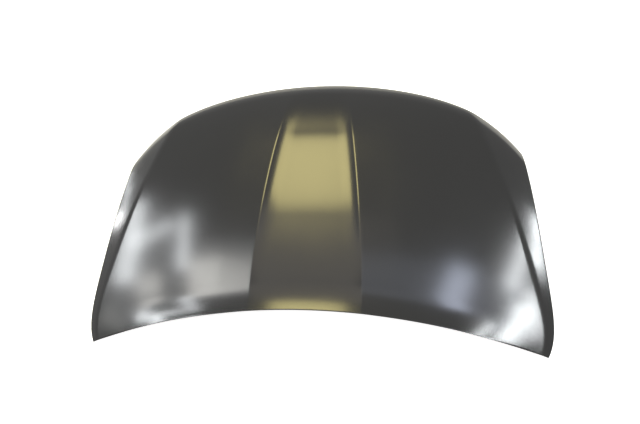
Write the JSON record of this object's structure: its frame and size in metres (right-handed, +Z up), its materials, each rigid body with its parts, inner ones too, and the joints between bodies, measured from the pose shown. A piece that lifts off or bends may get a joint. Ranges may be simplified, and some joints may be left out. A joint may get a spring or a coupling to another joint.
{
  "type": "car bonnet",
  "caption": "Pressed steel car bonnet: ridges bound a sunken middle panel, shoulders run down the sides, and the edge is hemmed over a ribbed inner panel with cut-outs.",
  "frame": {"origin": "on the floor under the middle of the bounding box, the bonnet lying outer face up on its four corners", "axes": "+X to the car's right, +Y to the nose, +Z up"},
  "size_m": [1.4412, 0.8828, 0.1218],
  "materials": {
    "ecoat_skin": "semi-gloss black electrocoat primer",
    "ecoat_inner": "satin black electrocoat primer",
    "mastic": "baked dark grey mastic"
  },
  "bodies": {
    "root": {"outer_panel": "ecoat_skin", "inner_panel": "ecoat_inner", "hinge_plate_left": "ecoat_inner", "hinge_nut_left_rear": "ecoat_inner", "hinge_nut_left_front": "ecoat_inner", "hinge_plate_right": "ecoat_inner", "hinge_nut_right_rear": "ecoat_inner", "hinge_nut_right_front": "ecoat_inner", "latch_plate": "ecoat_inner", "striker_base": "ecoat_inner", "striker_loop": "ecoat_inner", "prop_socket_plate": "ecoat_inner", "mastic_pad_left_1": "mastic", "mastic_pad_left_2": "mastic", "mastic_pad_left_3": "mastic", "mastic_pad_left_4": "mastic", "mastic_pad_left_5": "mastic", "mastic_pad_left_6": "mastic", "mastic_pad_left_7": "mastic", "mastic_pad_left_8": "mastic", "mastic_pad_right_1": "mastic", "mastic_pad_right_2": "mastic", "mastic_pad_right_3": "mastic", "mastic_pad_right_4": "mastic", "mastic_pad_right_5": "mastic", "mastic_pad_right_6": "mastic", "mastic_pad_right_7": "mastic", "mastic_pad_right_8": "mastic"}
  },
  "joints": []
}
